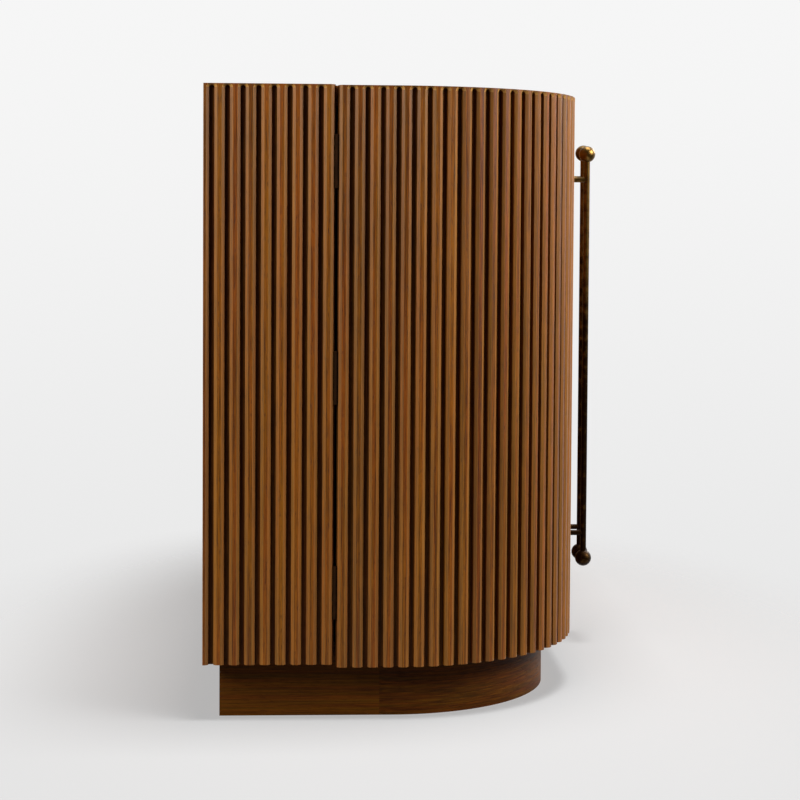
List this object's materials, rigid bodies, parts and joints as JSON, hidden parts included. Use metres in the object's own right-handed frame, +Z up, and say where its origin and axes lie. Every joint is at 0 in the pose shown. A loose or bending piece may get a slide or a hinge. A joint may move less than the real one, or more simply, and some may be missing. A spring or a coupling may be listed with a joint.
{
  "type": "credenza",
  "caption": "Low fluted-oak credenza with round-cornered hinged doors, flush top, recessed plinth and long ball-ended bar pulls.",
  "frame": {"origin": "centre of the bounding box on the floor", "axes": "+X along the length, -Y out of the front, +Z up"},
  "size_m": [1.826, 0.5295, 0.762],
  "materials": {
    "stained_oak_slats": "brown stain, satin lacquer",
    "stained_oak_boards": "brown stain, satin lacquer",
    "stained_oak_plinth": "brown stain, satin lacquer",
    "oak_interior": "satin lacquer",
    "antique_brass": "darkened antique brass",
    "bronze_hinges": "dark bronze",
    "steel": "nickel plated",
    "catch_plastic": "dark moulded plastic"
  },
  "bodies": {
    "case": {"top_panel": "stained_oak_boards", "bottom_panel": "stained_oak_boards", "centre_partition": "oak_interior", "centre_stile": "stained_oak_boards", "centre_stile_slats": "stained_oak_slats", "shelf_pins": "steel", "plinth_left_side": "stained_oak_plinth", "plinth_right_side": "stained_oak_plinth", "plinth_left_corner": "stained_oak_plinth", "plinth_right_corner": "stained_oak_plinth", "plinth_front_rail": "stained_oak_plinth", "plinth_back_rail": "stained_oak_plinth", "plinth_cross_rails": "stained_oak_plinth", "hinge_case_leaves": "bronze_hinges", "hinge_pins": "bronze_hinges", "door_catches": "catch_plastic", "left_end_panel": "stained_oak_boards", "left_end_slats": "stained_oak_slats", "left_back_panel": "oak_interior", "left_shelf": "oak_interior", "right_end_panel": "stained_oak_boards", "right_end_slats": "stained_oak_slats", "right_back_panel": "oak_interior", "right_shelf": "oak_interior"},
    "left_curved_door": {"left_curved_door_core": "stained_oak_boards", "left_curved_door_slats": "stained_oak_slats", "left_curved_door_hinge_leaves": "bronze_hinges", "left_curved_door_strike_plate": "steel", "left_curved_door_handle_bar": "antique_brass", "left_curved_door_handle_balls": "antique_brass", "left_curved_door_handle_posts": "antique_brass"},
    "left_flat_door": {"left_flat_door_core": "stained_oak_boards", "left_flat_door_slats": "stained_oak_slats", "left_flat_door_hinge_leaves": "bronze_hinges", "left_flat_door_strike_plate": "steel", "left_flat_door_handle_bar": "antique_brass", "left_flat_door_handle_balls": "antique_brass", "left_flat_door_handle_posts": "antique_brass"},
    "right_curved_door": {"right_curved_door_core": "stained_oak_boards", "right_curved_door_slats": "stained_oak_slats", "right_curved_door_hinge_leaves": "bronze_hinges", "right_curved_door_strike_plate": "steel", "right_curved_door_handle_bar": "antique_brass", "right_curved_door_handle_balls": "antique_brass", "right_curved_door_handle_posts": "antique_brass"},
    "right_flat_door": {"right_flat_door_core": "stained_oak_boards", "right_flat_door_slats": "stained_oak_slats", "right_flat_door_hinge_leaves": "bronze_hinges", "right_flat_door_strike_plate": "steel", "right_flat_door_handle_bar": "antique_brass", "right_flat_door_handle_balls": "antique_brass", "right_flat_door_handle_posts": "antique_brass"}
  },
  "joints": [
    {"name": "left_curved_door_hinge", "type": "hinge", "parent": "case", "child": "left_curved_door", "pos_m": [-0.9097, 0.10675, 0.381], "axis": [0, 0, -1], "range_deg": [0, 110]},
    {"name": "left_flat_door_hinge", "type": "hinge", "parent": "case", "child": "left_flat_door", "pos_m": [-0.0187, -0.20395, 0.381], "axis": [0, 0, 1], "range_deg": [0, 84]},
    {"name": "right_curved_door_hinge", "type": "hinge", "parent": "case", "child": "right_curved_door", "pos_m": [0.9097, 0.10675, 0.381], "axis": [0, 0, 1], "range_deg": [0, 110]},
    {"name": "right_flat_door_hinge", "type": "hinge", "parent": "case", "child": "right_flat_door", "pos_m": [0.0187, -0.20395, 0.381], "axis": [0, 0, -1], "range_deg": [0, 84]}
  ]
}
